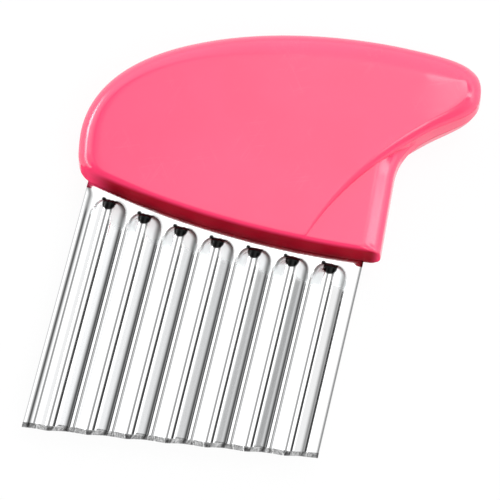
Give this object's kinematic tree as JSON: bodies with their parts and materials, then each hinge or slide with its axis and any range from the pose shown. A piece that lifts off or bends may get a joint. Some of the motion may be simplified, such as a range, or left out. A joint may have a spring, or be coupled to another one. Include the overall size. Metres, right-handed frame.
{
  "type": "crinkle cutter",
  "caption": "Hand-held crinkle cutter: a corrugated steel blade clamped in a hollow pink plastic palm handle with a hooked nose.",
  "frame": {"origin": "under the middle of the bounding box, on the surface that the cutter's back face lies on", "axes": "+Z out of the handle's front face, +Y along the ribs from the cutting edge to the handle, +X across the ribs towards the nose"},
  "size_m": [0.0846, 0.101, 0.015],
  "materials": {
    "blade_steel": "polished",
    "handle_plastic": "satin gloss",
    "screw_zinc": "zinc plated"
  },
  "bodies": {
    "root": {"blade": "blade_steel", "front_shell": "handle_plastic", "back_shell": "handle_plastic", "screw_left": "screw_zinc", "screw_right": "screw_zinc", "screw_nose": "screw_zinc"}
  },
  "joints": []
}
